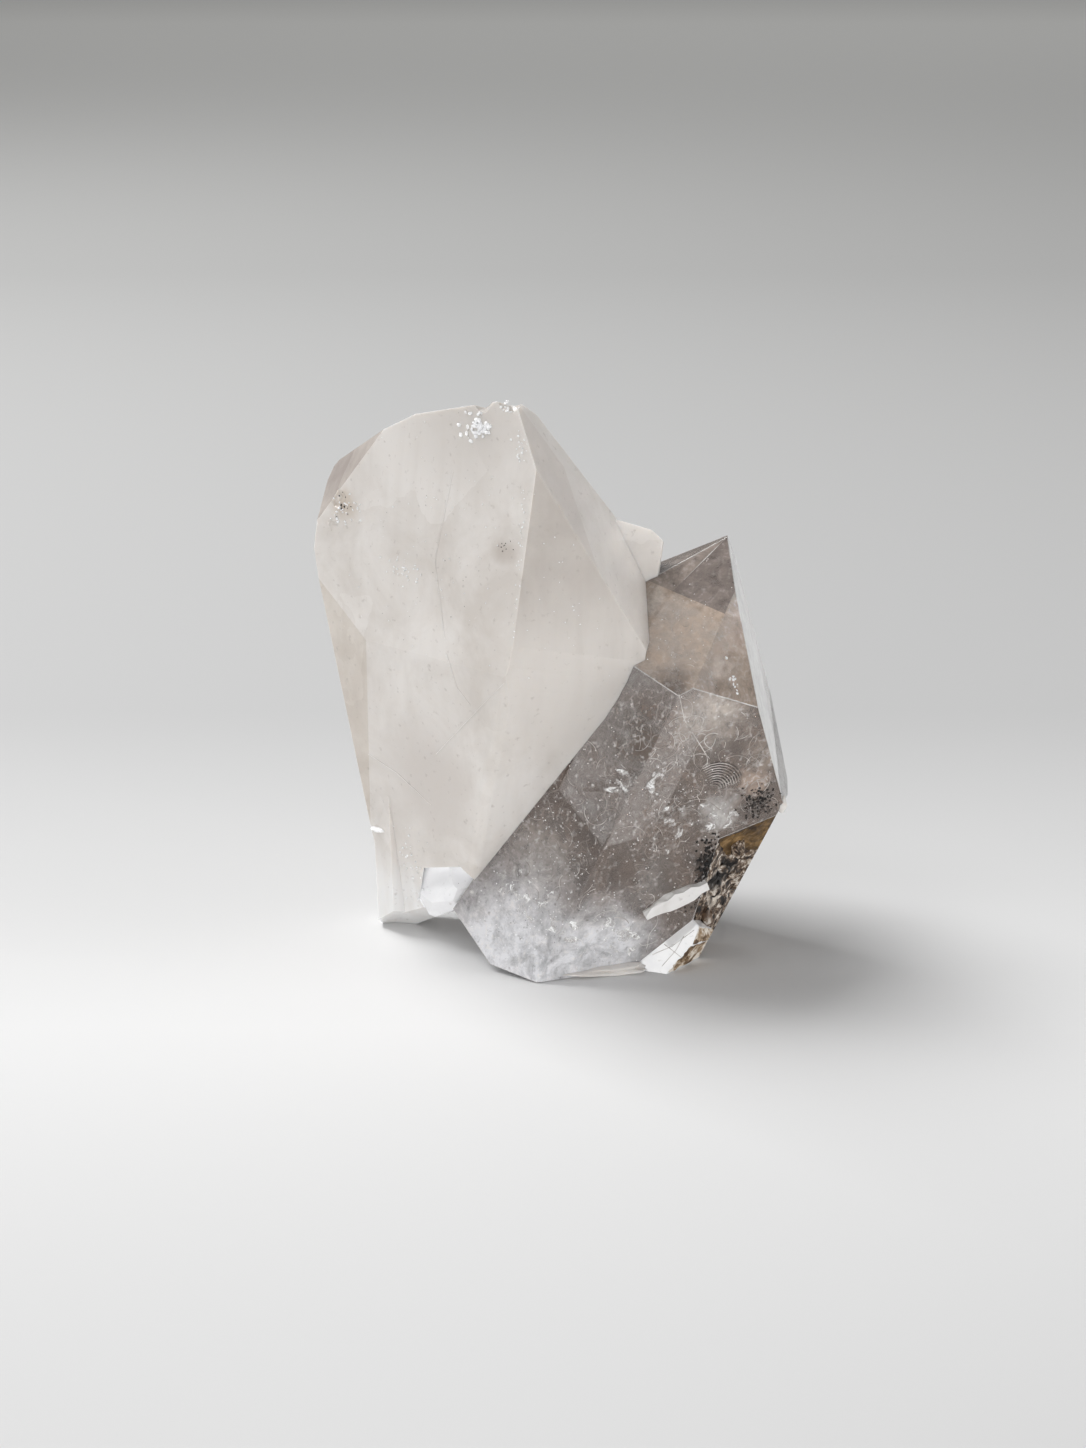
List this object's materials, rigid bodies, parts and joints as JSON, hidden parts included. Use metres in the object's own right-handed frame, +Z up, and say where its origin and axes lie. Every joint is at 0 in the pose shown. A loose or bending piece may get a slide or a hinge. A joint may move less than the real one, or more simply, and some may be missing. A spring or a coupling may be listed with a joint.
{
  "type": "quartz crystal cluster",
  "caption": "Intergrown quartz specimen: a broad cloudy crystal, a small stub behind it and a smoky see-through crystal leaning against them, standing on their broken root.",
  "frame": {"origin": "on the ground, under the middle of the cluster's bounding box", "axes": "+Z up along the broad cloudy crystal, +X towards the side the smoky crystal leans to, -Y towards the front, where both crystals are seen"},
  "size_m": [0.0745, 0.0461, 0.0894],
  "materials": {
    "cloudy_quartz": "cloudy white, glassy faces with a satin sheen",
    "smoky_quartz": "clear brown-grey, see-through, glassy",
    "iron_stain": "dull ochre and black-brown crust"
  },
  "bodies": {
    "root": {"quartz_cluster": "cloudy_quartz"}
  },
  "joints": []
}
